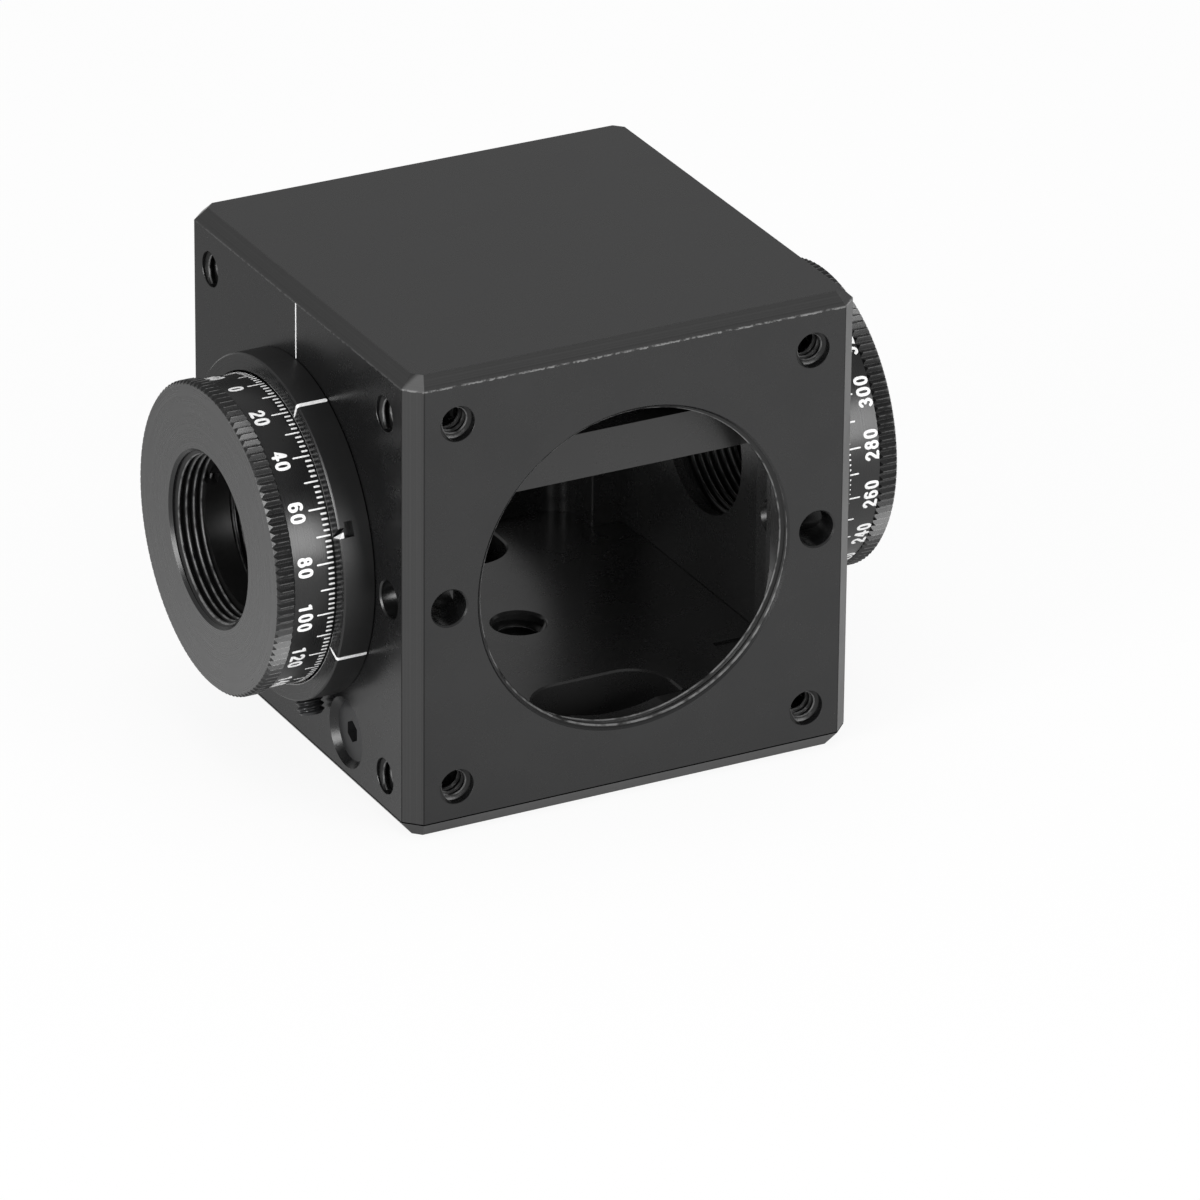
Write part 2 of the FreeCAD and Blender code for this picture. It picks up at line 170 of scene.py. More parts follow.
class Finish:
    """One material: a Principled surface and the nodes that vary it."""

    def __init__(self, name):
        self.material = bpy.data.materials.new(name)
        self.material.use_nodes = True
        self.tree = self.material.node_tree
        self.tree.nodes.clear()
        self.surface = self.tree.nodes.new("ShaderNodeBsdfPrincipled")
        self.output = self.tree.nodes.new("ShaderNodeOutputMaterial")
        self.tree.links.new(self.surface.outputs[0], self.output.inputs["Surface"])

    def node(self, kind, settings, inputs, out=0):
        """Adds a node, its settings first and then its sockets' values or links, and gives one output."""
        made = self.tree.nodes.new(kind)
        for name, value in settings.items():
            setattr(made, name, value)
        for name, value in inputs.items():
            self.feed(made.inputs[name], value)
        return Value(self, made.outputs[out])

    def feed(self, socket, value):
        if isinstance(value, Value):
            self.tree.links.new(value.socket, socket)
        else:
            socket.default_value = value

    def set(self, **values):
        """Sets the surface's sockets by name, with _ for a space."""
        for name, value in values.items():
            self.feed(self.surface.inputs[name.replace("_", " ")], value)
        return self

    def place(self, middle=(0, 0, 0)):
        """The surface's own position, measured from a point."""
        position = self.node("ShaderNodeTexCoord", {}, {}, "Object")
        return self.node("ShaderNodeVectorMath", {"operation": "SUBTRACT"}, {0: position, 1: middle})

    def split(self, vector):
        separate = self.tree.nodes.new("ShaderNodeSeparateXYZ")
        self.feed(separate.inputs[0], vector)
        return [Value(self, output) for output in separate.outputs]

    def join(self, x, y, z):
        return self.node("ShaderNodeCombineXYZ", {}, {0: x, 1: y, 2: z})

    def noise(self, vector, size, detail=2.0, roughness=0.5):
        """Smooth noise about 0.5, whose lumps have a given size."""
        inputs = {"Vector": vector, "Scale": 1 / size, "Detail": detail, "Roughness": roughness}
        return self.node("ShaderNodeTexNoise", {}, inputs, "Fac")

    def mix(self, share, colour, other):
        """A colour between two others."""
        inputs = {0: share, 6: colour, 7: other}
        return self.node("ShaderNodeMix", {"data_type": "RGBA"}, inputs, 2)

    def bump(self, height, depth, normal=None):
        """A normal from a height of 0 to 1 that stands for a depth in metres."""
        inputs = {"Strength": 1.0, "Distance": depth, "Height": height}
        if normal is not None:
            inputs["Normal"] = normal
        return self.node("ShaderNodeBump", {}, inputs, "Normal")


def grey(level, tint=0.0):
    """A near-neutral colour: a level, and a small share of blue taken or given."""
    return (level * (1 - tint / 2), level, level * (1 + tint), 1)


def blasted_anodise():
    """Black anodised aluminium, bead blasted: fine grain, faint clouds, and cut edges with lines, wear,
    painted highlights and painted shade.

    side is how far a place lies outside the upright faces, corner how far outside the upright cut
    edges, and up how far above the top. On the top's cut edge side and up add up to minus its width.
    lip, brow and arris are lines along the edges: the lower and the upper edge of the top's cut edge,
    and both edges of an upright one. seam is the fine groove round the foot. The seam, the arrises and
    the bottom's cut edge carry painted shade. The lip, in patches and most on the front, is painted
    paler as wear and painted highlight, and the top's corner facet at the front left as a painted
    highlight. The cut edges' lines are lighter on the front, as painted light. Inside the cavity the
    walls are painted lighter as fill light, and a strip beside the front wall carries a painted highlight.
    """
    finish = Finish("blasted_anodise")
    place = finish.place(centre)
    east, north, z = finish.split(place)
    x, y = abs(east), abs(north)
    corner = (x + y - (2 * half - upright_chamfer)) * sqrt(0.5)
    wall = (x - half).most(y - half)
    side = wall.most(corner)
    up = z - half
    bottom = side + bottom_chamfer - (z + half) * (bottom_chamfer / bottom_chamfer_rise)
    on_top = (side + up + top_chamfer).rise(*edge_step)
    on_upright = corner.rise(*edge_step)
    on_bottom = bottom.rise(*edge_step)
    cut = on_top.most(on_upright).most(on_bottom)
    seam = 1 - abs(z + (half - bottom_chamfer_rise - seam_width / 2)).rise(0.045 * mm, 0.06 * mm)
    # inside: the cavity's walls, which are painted lighter as fill light.
    inside = (-side).rise(1.3 * mm, 1.8 * mm) * (-up).rise(0.3 * mm, 0.8 * mm)
    inside = inside * (z + half).rise(0.3 * mm, 0.8 * mm)
    # strip: a mottled patch beside the front wall inside the cavity, which gets a painted highlight.
    strip = x.rise(10.8 * mm, 12.0 * mm) * (1 - x.rise(12.4 * mm, 13.6 * mm))
    strip = strip * (-north).rise(14.8 * mm, 15.3 * mm) * (0.4 + finish.noise(place, 1.2 * mm, 3) * 0.6)
    cloud = finish.noise(place, 4 * mm, 3)
    speck = finish.noise(place, 0.35 * mm, 2)
    grain = finish.noise(place, 0.11 * mm, 2, 0.6)
    run = up * (1 - on_upright) + (x - y) * 0.7 * on_upright
    lines = finish.noise(finish.join(run / (0.13 * mm), 0, 0), 1.0, 1)
    front = (-north).rise(half - 1.5 * mm, half - 1.1 * mm)
    # lip: the top chamfer's lower edge, in patches and most on the front; painted paler as wear and painted
    # highlight. facet: the top's corner facet at the front left, a painted highlight.
    lip = 1 - abs(up + top_chamfer + (speck - 0.5) * 0.2 * mm).rise(0.03 * mm, 0.09 * mm)
    lip = lip * side.rise(-0.14 * mm, -0.06 * mm) * speck.rise(0.35, 0.6) * (0.25 + front * 0.75)
    brow = (1 - abs(side + top_chamfer).rise(0.02 * mm, 0.06 * mm)) * up.rise(-0.08 * mm, -0.03 * mm)
    arris = corner.rise(-0.06 * mm, -0.02 * mm) * wall.rise(-0.06 * mm, -0.02 * mm)
    facet = on_top * (corner - wall).rise(-0.01 * mm, 0.01 * mm) * front * (-east).rise(0, half)
    wear_and_highlight = (lip * 0.9 + facet * 0.35).least(1.0)
    shade = finish.mix(cloud, grey(0.0045, 0.05), grey(0.0075, 0.02))
    # Painted fill light: the cavity's walls are lighter than the outside.
    shade = finish.mix(inside, shade, grey(0.014))
    # Painted highlight on the strip beside the front wall.
    shade = finish.mix(inside * strip, shade, grey(0.17))
    # Cut-edge lines, lighter on the front as painted light; the bottom's cut edge is painted darker as
    # painted shade.
    streaks = finish.mix(lines * (0.6 + front * 0.4), grey(0.005), grey(0.034))
    streaks = finish.mix(on_bottom, streaks, grey(0.006))
    shade = finish.mix(cut, shade, streaks)
    # Rubbed edges that also carry a painted highlight.
    shade = finish.mix(wear_and_highlight, shade, grey(rub_and_highlight_level))
    # Painted shade: the seam, the upright arrises and the bottom's cut edge go near black, and Metallic on
    # that black dulls their sheen.
    painted_shade = seam.most(arris * 0.5).most(on_bottom * 0.3)
    finish.set(Base_Color=finish.mix(painted_shade, shade, grey(painted_shade_level)), Metallic=painted_shade)
    finish.set(Roughness=0.27 + (cloud - 0.5) * 0.10 + (speck - 0.5) * 0.03 + cut * 0.07)
    fine = finish.bump(grain, 0.0012 * mm)
    relief = lines * (on_top + on_upright * 0.3) - brow * 2
    finish.set(Normal=finish.bump(relief, 0.007 * mm, fine), IOR=coat_index)
    return finish.material


def turned_anodise(name, knurled):
    """Black anodised aluminium off the lathe: faint rings about the dial's axis, fine grain, rubbed knurl.

    The knurled dial also has an end face painted paler, standing in for the light it catches. The plain
    collar has a rougher rim, painted shade where it meets the cube, and a painted highlight along its
    bore's edge, above and below mid-height on one side.
    """
    finish = Finish(name)
    place = finish.place(centre)
    x, y, z = finish.split(place)
    radius = (y * y + z * z).root()
    rings = finish.noise(finish.join(radius / (0.10 * mm), x / (0.12 * mm), 0), 1.0, 2)
    cloud = finish.noise(place, 3 * mm, 3)
    grain = finish.noise(place, 0.12 * mm, 2, 0.6)
    shade = finish.mix(cloud, grey(0.0045, 0.03), grey(0.0085, 0.02))
    roughness = 0.28 + (cloud - 0.5) * 0.10 + (rings - 0.5) * 0.10
    if knurled:
        out = abs(x) - (half + dial_rise)
        face = out.rise(*edge_step)
        on_knurl = out.rise(-1.52 * mm, -1.48 * mm) * (1 - face)
        crest = radius.rise(knurl_radius - 0.05 * mm, knurl_radius - 0.02 * mm)
        root = radius.rise(knurl_radius - 0.36 * mm, knurl_radius - 0.34 * mm)
        root = root * (1 - radius.rise(knurl_radius - 0.30 * mm, knurl_radius - 0.27 * mm))
        bare = on_knurl * (crest + root * 0.4) * finish.noise(place, 0.5 * mm, 2).rise(0.3, 0.55)
        shade = finish.mix(bare, shade, grey(0.09))
        # The end face is painted paler, standing in for the light it catches, with faint rings.
        shade = finish.mix(face, shade, finish.mix(rings, grey(0.035), grey(0.075)))
        finish.set(Base_Color=shade, Roughness=roughness)
    else:
        out = abs(x) - half
        foot = 1 - out.rise(0.07 * mm, 0.10 * mm)
        # brow: the collar front's edge along its bore, on one side only and away from mid-height, given a
        # painted highlight.
        brow = 1 - abs(radius - 12.16 * mm).rise(0.03 * mm, 0.07 * mm)
        brow = brow * out.rise(flange_rise - 0.1 * mm, flange_rise - 0.06 * mm)
        brow = brow * (x * y / (radius * radius)).rise(0.0, 0.2) * abs(z / radius).rise(0.30, 0.34)
        rim = radius.rise(flange_radius - 0.1 * mm, flange_radius - 0.04 * mm)
        shade = finish.mix(brow, shade, grey(0.35))
        # Painted shade where the collar meets the cube: near black, dulled by Metallic on that black.
        shade = finish.mix(foot, shade, grey(painted_shade_level))
        finish.set(Base_Color=shade, Metallic=foot, Roughness=roughness + rim * 0.14)
    finish.set(Normal=finish.bump(rings * 0.5 + grain * 0.5, 0.0024 * mm), IOR=coat_index)
    return finish.material


def bore_anodise():
    """Black anodised aluminium inside bores: cutter chatter, and thread crests paler in patches at their
    outer corner, partly rubbed metal and partly a painted highlight.
    """
    finish = Finish("bore_anodise")
    place = finish.place(centre)
    chatter = finish.noise(place, 0.25 * mm, 3)
    crest = finish.node("ShaderNodeAttribute", {"attribute_name": "crest"}, {}, "Fac")
    # Painted highlight, with some rubbing: patches along the crests' outer corners are paler.
    bright = crest.rise(0.8, 0.95) * finish.noise(place, 0.9 * mm, 2).rise(0.3, 0.6)
    shade = finish.mix(chatter, grey(0.004), grey(0.007))
    finish.set(Base_Color=finish.mix(bright, shade, grey(0.12)))
    finish.set(Roughness=0.34 + (chatter - 0.5) * 0.16, IOR=coat_index, Specular_IOR_Level=0.4)
    finish.set(Normal=finish.bump(chatter, 0.003 * mm))
    return finish.material


def black_oxide():
    """Blackened steel of the screws: a dark film with a dull metal sheen."""
    finish = Finish("black_oxide")
    place = finish.place(centre)
    cloud = finish.noise(place, 0.8 * mm, 3)
    grain = finish.noise(place, 0.1 * mm, 2)
    finish.set(Base_Color=finish.mix(cloud, grey(0.035), grey(0.065, 0.04)))
    finish.set(Metallic=0.75, Roughness=0.36 + (cloud - 0.5) * 0.14)
    finish.set(Normal=finish.bump(grain, 0.0015 * mm))
    return finish.material


def spring_wire():
    """Bright drawn wire and spring strip, with fine lines from the die."""
    finish = Finish("spring_wire")
    place = finish.place(centre)
    lines = finish.noise(place, 0.15 * mm, 3)
    finish.set(Base_Color=finish.mix(lines, grey(0.38, 0.02), grey(0.52, 0.02)))
    finish.set(Metallic=1.0, Roughness=0.26 + (lines - 0.5) * 0.12)
    finish.set(Normal=finish.bump(lines, 0.0015 * mm))
    return finish.material


def acetal():
    """Natural white acetal, a little waxy."""
    finish = Finish("acetal")
    cloud = finish.noise(finish.place(centre), 0.6 * mm, 3)
    finish.set(Base_Color=finish.mix(cloud, (0.70, 0.69, 0.64, 1), (0.78, 0.77, 0.73, 1)))
    finish.set(Roughness=0.42 + (cloud - 0.5) * 0.1, Normal=finish.bump(cloud, 0.002 * mm))
    return finish.material


def white_fill():
    """White paint wiped into the engraving: slightly uneven, dull."""
    finish = Finish("white_fill")
    place = finish.place(centre)
    patch = finish.noise(place, 0.18 * mm, 3)
    finish.set(Base_Color=finish.mix(patch.rise(0.3, 0.6), grey(0.72), grey(0.86)))
    finish.set(Roughness=0.5 + (patch - 0.5) * 0.2, Normal=finish.bump(patch, 0.004 * mm))
    return finish.material


def studio_floor():
    """White table: lit as plain white, shown as white to the camera, and partly as white to reflections.

    What glossy surfaces see of it is darkened on the left, most behind the cube: a painted shade in their
    reflections.
    """
    finish = Finish("studio_floor")
    finish.set(Base_Color=(0.86, 0.86, 0.86, 1), Roughness=0.9)
    path = finish.tree.nodes.new("ShaderNodeLightPath")
    seen = Value(finish, path.outputs["Is Camera Ray"])
    mirrored = Value(finish, path.outputs["Is Glossy Ray"])
    glow = finish.node("ShaderNodeEmission", {}, {"Color": (1, 1, 1, 1), "Strength": 1.0})
    body = Value(finish, finish.surface.outputs[0])
    shown = finish.node("ShaderNodeMixShader", {}, {0: seen * 0.9 + mirrored * 0.4, 1: body, 2: glow})
    east, north, _ = finish.split(finish.place())
    # Painted shade for reflections only: glossy rays see the floor darker on the left, most behind the cube.
    fall = (0.14 + north.rise(-0.01, 0.06) * 0.42) * (-east).rise(0.005, 0.02)
    dim = finish.node("ShaderNodeEmission", {}, {"Color": (0, 0, 0, 1), "Strength": 0.0})
    shown = finish.node("ShaderNodeMixShader", {}, {0: mirrored * fall, 1: shown, 2: dim})
    finish.feed(finish.output.inputs["Surface"], shown)
    return finish.material


def piece(name, shapes, finish, body="cube", smooth=35):
    """A mesh object from (points, faces) shapes, turned the right way out, riding on a body."""
    points = []
    faces = []
    for shape_points, shape_faces in shapes:
        first = sum(len(block) for block in points)
        if enclosed(shape_points, shape_faces) < 0:
            shape_faces = [face[::-1] for face in shape_faces]
        points.append(shape_points)
        faces += [[first + corner for corner in face] for face in shape_faces]
    mesh = bpy.data.meshes.new(name)
    mesh.from_pydata(np.concatenate(points), [], faces)
    mesh.materials.append(finish)
    mesh.shade_smooth()
    mesh.set_sharp_from_angle(angle=radians(smooth))
    made = bpy.data.objects.new(name, mesh)
    bpy.context.scene.collection.objects.link(made)
    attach(made, body)
    return made


def enclosed(points, faces):
    """The volume that a closed shape encloses, negative if its faces point inwards."""
    middle = points.mean(axis=0)
    corners = points - middle
    fans = np.array([(face[0], face[k], face[k + 1]) for face in faces for k in range(1, len(face) - 1)])
    a, b, c = (corners[fans[:, k]] for k in range(3))
    return float(np.einsum("ij,ij->i", a, np.cross(b, c)).sum() / 6)


def tubes(rings):
    """Closed tubes from rings of points, as one shape.

    rings has the axes tube, station, corner and coordinate. Each quad joins two neighbouring corners
    of a ring to the same two of the next ring, and a flat face closes each end.
    """
    count, stations, corners, _ = rings.shape
    index = np.arange(count * stations * corners).reshape(count, stations, corners)
    near = index[:, :-1]
    far = index[:, 1:]
    quads = np.stack([near, np.roll(near, -1, 2), np.roll(far, -1, 2), far], -1).reshape(-1, 4)
    ends = np.concatenate([index[:, 0, ::-1], index[:, -1]])
    return rings.reshape(-1, 3), quads.tolist() + ends.tolist()


def hoops(rings):
    """Closed loops of rings, as one shape: as tubes, but the last station joins the first again."""
    count, stations, corners, _ = rings.shape
    index = np.arange(count * stations * corners).reshape(count, stations, corners)
    far = np.roll(index, -1, 1)
    quads = np.stack([index, np.roll(index, -1, 2), np.roll(far, -1, 2), far], -1).reshape(-1, 4)
    return rings.reshape(-1, 3), quads.tolist()


def stroke_rings(points, sides, normals, halves):
    """Rings of a painted line: at each station, a low dome set across the path.

    A corner lies at point + side · half width · across + normal · lift, where the dome has two
    sunk corners at its sides and three raised ones between them.
    """
    across = np.array([-1.0, -0.86, 0.0, 0.86, 1.0])
    lift = np.array([-paint_sink, 0.6 * paint_lift, paint_lift, 0.6 * paint_lift, -paint_sink])
    reach = halves[..., None] * across
    return (points[..., None, :] + sides[..., None, :] * reach[..., None]
            + normals[..., None, :] * lift[:, None])


def rounded(start, end, width, steps=3):
    """Stations along a straight line with round ends, as (place along it, half width) arrays.

    The line has unit-free places: each end reaches half a width further, and there the half width
    falls as the cosine while the place grows as the sine.
    """
    turn = np.linspace(0, 0.47 * pi, steps + 1)[1:]
    cap = width / 2
    before = start + cap - cap * np.sin(turn[::-1])
    after = end - cap + cap * np.sin(turn)
    places = np.concatenate([before, [start + cap, end - cap], after])
    halves = np.concatenate([cap * np.cos(turn[::-1]), [cap, cap], cap * np.cos(turn)])
    return places, halves


def dial_point(side, arc, rise, radius):
    """A point of a mount: arc is its angle clockwise from its top as seen from outside, rise its reach."""
    arc, rise, radius = np.broadcast_arrays(arc, rise, radius)
    return np.stack([side * (half + rise), side * radius * np.sin(arc), axis_z + radius * np.cos(arc)], -1)


def dial_axes(side, arc):
    """Unit vectors of a mount at an angle: clockwise, outwards along the axis, and away from the axis."""
    arc = np.asarray(arc, float)
    zero = np.zeros_like(arc)
    clockwise = np.stack([zero, side * np.cos(arc), -np.sin(arc)], -1)
    outwards = np.stack([zero + side, zero, zero], -1)
    away = np.stack([zero, side * np.sin(arc), np.cos(arc)], -1)
    return clockwise, outwards, away


def scale_lines(side):
    """The dial's degree lines: one every 2 degrees, longer every 10 and longest every 20."""
    low = 2.66 * mm
    kinds = [
        ([k for k in range(0, 360, 2) if k % 10], 3.18 * mm, 0.18 * mm),
        ([k for k in range(0, 360, 10) if k % 20], 3.85 * mm, 0.15 * mm),
        (list(range(0, 360, 20)), 4.08 * mm, 0.15 * mm),
    ]
    shapes = []
    for degrees, high, width in kinds:
        places, halves = rounded(low + scale_slide[side], high + scale_slide[side], width)
        arc = np.radians(np.array(degrees) + scale_turn[side])[:, None] + np.zeros(len(places))
        clockwise, _, away = dial_axes(side, arc)
        points = dial_point(side, arc, places, band_radius)
        shapes.append(tubes(stroke_rings(points, clockwise, away, np.broadcast_to(halves, arc.shape))))
    return shapes


def bend(middle, reach, start, end, steps=9):
    """Points of an arc: (middle x, y), (reach x, y), and angles in degrees counted from +x towards +y."""
    angle = np.radians(np.linspace(start, end, steps))
    return np.stack([middle[0] + reach[0] * np.cos(angle), middle[1] + reach[1] * np.sin(angle)], -1)


def oval(middle, reach, power=2.5, steps=22):
    """Points of a closed rounded oval: x and y are the reach times a root of the cosine and sine."""
    angle = np.linspace(0, 2 * pi, steps, endpoint=False)
    x = np.sign(np.cos(angle)) * np.abs(np.cos(angle)) ** (2 / power)
    y = np.sign(np.sin(angle)) * np.abs(np.sin(angle)) ** (2 / power)
    return np.stack([middle[0] + reach[0] * x, middle[1] + reach[1] * y], -1)


def digit_strokes():
    """Centre lines of the digits in a cell 1 high, with x about the cell's middle: (points, closed)."""
    wide = 0.235
    return {
        "0": [(oval((0, 0.5), (wide, 0.5)), True)],
        "1": [(np.array([(-0.14, 0.80), (-0.02, 0.88), (0.06, 1.0), (0.06, 0.5), (0.06, 0.0)]), False)],
        "2": [(np.concatenate([bend((0, 0.73), (wide, 0.27), 165, -35), [(0.02, 0.36), (-0.16, 0.14),
                               (-0.245, 0.0), (0.0, 0.0), (0.25, 0.0)]]), False)],
        "3": [(bend((0, 0.755), (0.21, 0.245), 155, -80), False),
              (bend((0, 0.265), (wide, 0.265), 85, -150), False)],
        "4": [(np.array([(0.06, 1.0), (-0.11, 0.63), (-0.27, 0.28), (0.0, 0.28), (0.28, 0.28)]), False),
              (np.array([(0.10, 0.98), (0.10, 0.5), (0.10, 0.0)]), False)],
        "6": [(oval((0, 0.29), (wide, 0.29), 2.2, 18), True),
              (np.concatenate([bend((0, 0.74), (wide, 0.26), 40, 175, 7),
                               [(-wide, 0.5), (-wide, 0.3)]]), False)],
        "8": [(oval((0, 0.765), (0.195, 0.235), 2.2, 16), True),
              (oval((0, 0.275), (wide, 0.275), 2.2, 18), True)],
    }


def along(points, closed):
    """Unit directions of a path at its points, from the neighbours on both sides."""
    if closed:
        ahead = np.roll(points, -1, 0) - np.roll(points, 1, 0)
    else:
        ahead = np.gradient(points, axis=0)
    return ahead / np.linalg.norm(ahead, axis=1, keepdims=True)


def with_round_ends(points, width, steps=3):
    """An open path made longer by half a width at each end, and the half width at every station."""
    heading = along(points, False)
    turn = np.linspace(0, 0.46 * pi, steps + 1)[1:]
    reach = (width / 2) * np.sin(turn)[:, None]
    before = points[0] - heading[0] * reach[::-1]
    after = points[-1] + heading[-1] * reach
    fall = (width / 2) * np.cos(turn)
    halves = np.concatenate([fall[::-1], np.full(len(points), width / 2), fall])
    return np.concatenate([before, points, after]), halves


def scale_numbers(side):
    """The dial's numbers, every 20 degrees, read clockwise with their heads towards the cube.

    A stroke's centre line lies on the unrolled band, x along its arc and y towards the cube, and is
    wrapped on the band by taking arc length over radius as the angle.
    """
    tall = 1.0 * mm
    width = 0.28 * mm
    pitch = 0.88 * mm
    foot = 5.53 * mm + scale_slide[side]
    strokes = digit_strokes()
    shapes = []
    for label in range(0, 360, 20):
        text = str(label)
        for place, digit in enumerate(text):
            offset = (place - (len(text) - 1) / 2) * pitch
            for line, closed in strokes[digit]:
                flat = line * tall
                halves = np.full(len(flat), width / 2)
                if not closed:
                    flat, halves = with_round_ends(flat, width)
                heading = along(flat, closed)
                arc = radians(label + scale_turn[side]) + (offset + flat[:, 0]) / band_radius
                clockwise, outwards, away = dial_axes(side, arc)
                sides = -heading[:, 1:] * clockwise - heading[:, :1] * outwards
                points = dial_point(side, arc, foot - flat[:, 1], band_radius)
                rings = stroke_rings(points, sides, away, halves)[None]
                shapes.append(hoops(rings) if closed else tubes(rings))
    return shapes


def flange_marks(side):
    """Two index lines at 46 degrees either side of the window, each along the rim and in over its front."""
    shapes = []
    for degrees in flange_mark_turns:
        arc = radians(degrees)
        clockwise, outwards, away = dial_axes(side, arc)
        corner = 0.12 * mm
        rise = np.array([0.08, 0.14, 0.8, 1.6, 2.36, 2.48]) * mm
        rim = [(flange_radius, u, 0.0) for u in rise]
        over = [(flange_radius - corner / 2, flange_rise - corner / 2, 45.0)]
        front = [(radius * mm, flange_rise, 90.0) for radius in (13.38, 13.2, 12.8, 12.45, 12.34, 12.26)]
        path = np.array(rim + over + front)
        lean = np.radians(path[:, 2])[:, None]
        normals = np.cos(lean) * away + np.sin(lean) * outwards
        points = dial_point(side, np.full(len(path), arc), path[:, 1], path[:, 0])
        halves = np.array([0.06, 0.18, 0.18, 0.18, 0.18, 0.18, 0.16, 0.15, 0.14, 0.13, 0.11, 0.08, 0.03]) * mm
        sides = np.broadcast_to(clockwise, points.shape)
        shapes.append(tubes(stroke_rings(points, sides, normals, halves)[None]))
    return shapes


def window_pointer(side):
    """The white wedge on the window's lower flank, its tip at the scale.

    Its section at each radius is a triangle with blunt corners, which reaches into the flange by up to
    0.35 mm and up round the dial by up to 0.45 mm, both in proportion to the distance from the tip.
    """
    share = np.linspace(0.04, 1, 7)[:, None]
    radius = (12.14 + 1.3 * share) * mm
    section = np.array([(0, -0.05), (1, -0.05), (1, 0.9), (0.88, 1.0), (0.42, 0.6), (0, 0.08)])
    deep = 0.35 * mm * share * section[:, 0]
    up = 0.45 * mm * share * section[:, 1]
    arc = radians(window_turn) - up / radius
    return [tubes(dial_point(side, arc, flange_rise - 0.03 * mm - deep, radius)[None])]


def index_line(side):
    """The white line on the cube's side face, from its top chamfer down to the flange."""
    places, halves = rounded(axis_z + flange_radius + 0.02 * mm, cube_high.z - top_chamfer, 0.2 * mm)
    zero = np.zeros_like(places)
    points = np.stack([zero + side * half, zero, places], -1)
    sides = np.broadcast_to(np.array([0.0, 1.0, 0.0]), points.shape)
    normals = np.broadcast_to(np.array([side, 0.0, 0.0]), points.shape)
    return [tubes(stroke_rings(points, sides, normals, halves)[None])]


def thread_rings(radius, pitch, low, high, lead, steps=64, phase=0.0, buried=0.05 * mm):
    """Rings of a right-hand internal thread about +Z, in a hole whose mouth is at height 0.

    The crest lies at height low + pitch · t / 2π at angle t. A ring is a blunt 60 degree tooth that stands
    in from the bore by 0.54 of the pitch and dies out over the first and last ninth of a turn. The
    mouth's 45 degree cone cuts it off: no point is nearer the axis than radius + lead + height, and
    what it cuts off lies a little under the cone's skin.
    """
    under = 0.03 * mm
    turns = (high - low) / pitch
    angle = np.linspace(0, 2 * pi * turns, int(steps * turns) + 1)
    full = np.clip(np.minimum(angle, angle[-1] - angle) / (2 * pi / 9), 0.02, 1)
    share = np.array([0.0, 0.0, 0.9, 1.0, 1.0, 1.0, 0.9, 0.0, 0.0])
    along_axis = np.array([-0.45, -0.44, -0.15, -0.08, 0.0, 0.08, 0.15, 0.44, 0.45]) * pitch
    inset = share * flank_share * pitch * full[:, None]
    inset[:, [0, -1]] = -buried
    height = low + pitch * angle[:, None] / (2 * pi) + along_axis
    height = np.minimum(height, -under)
    reach = np.maximum(radius - inset, radius + lead + height + under)
    turned = angle[:, None] + phase
    return np.stack([reach * np.cos(turned), reach * np.sin(turned), height], -1)


def laid(rings, mouth, outward):
    """Rings drawn about +Z with their mouth at height 0, moved to a mouth point and an outward axis."""
    outward = np.asarray(outward, float)
    across = np.array([0, 0, 1.0]) if abs(outward[2]) < 0.5 else np.array([1.0, 0, 0])
    other = np.cross(outward, across)
    return rings[..., :1] * across + rings[..., 1:2] * other + rings[..., 2:] * outward + np.asarray(mouth)


def hole_threads(name):
    """Thread ridges in the four tapped rod holes of one face, which begin below a short plain mouth."""
    mount = mounts[name]
    outward = np.array(mount["axis"], float)
    radius = mount["dims"]["hole_r_mm"] * mm
    reach = mount["dims"]["spacing_x_mm"] / 2 * mm
    sideways = np.cross(outward, (0, 0, 1))
    rings = thread_rings(radius, fine_pitch, -2.6 * mm, -0.40 * mm, 0.03 * mm, 28)
    places = [np.array(mount["pos_m"]) + sideways * reach * a + np.array((0, 0, reach * b))
              for a in (-1, 1) for b in (-1, 1)]
    return [tubes(np.stack([laid(rings, place, outward) for place in places]))]


def port_threads(name):
    """Thread ridges of one large port, through its wall."""
    mount = mounts[name]
    outward = np.array(mount["axis"], float)
    rings = thread_rings(mount["dims"]["r_mm"] * mm, fine_pitch, 0.28 * mm - port_wall, 0.0, 0.15 * mm, 96,
                         radians(port_thread_turn), 0.02 * mm)
    return [tubes(laid(rings, np.array((0, 0, axis_z)) + outward * half, outward)[None])]


def bore_threads(side):
    """Thread ridges of a dial's bore, from the hub's end to its mouth."""
    radius = mounts["right_port"]["dims"]["r_mm"] * mm
    mouth = np.array((side * (half + dial_rise), 0, axis_z))
    low = hub_end - dial_rise + 0.3 * mm
    rings = thread_rings(radius, fine_pitch, low, 0.0, 0.25 * mm, 72, radians(bore_thread_turn), 0.3 * mm)
    return [tubes(laid(rings, mouth, (side, 0, 0))[None])]


def post_threads():
    """Thread ridges of the post hole in the floor."""
    mount = mounts["post_hole"]
    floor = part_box("base_plate")[1].z
    rings = thread_rings(mount["dims"]["r_mm"] * mm, post_pitch, 0.4 * mm - floor, -0.4 * mm, 0.2 * mm, 40)
    return [tubes(laid(rings, (0, 0, 0), (0, 0, -1))[None])]


def threads(name, shapes, finish, body="cube"):
    """A thread as a piece, with each point's nearness to the crest's outer corner written on its mesh."""
    made = piece(name, shapes, finish, body)
    crest = made.data.attributes.new("crest", "FLOAT", "POINT")
    crest.data.foreach_set("value", np.resize(crest_marks, len(made.data.vertices)))


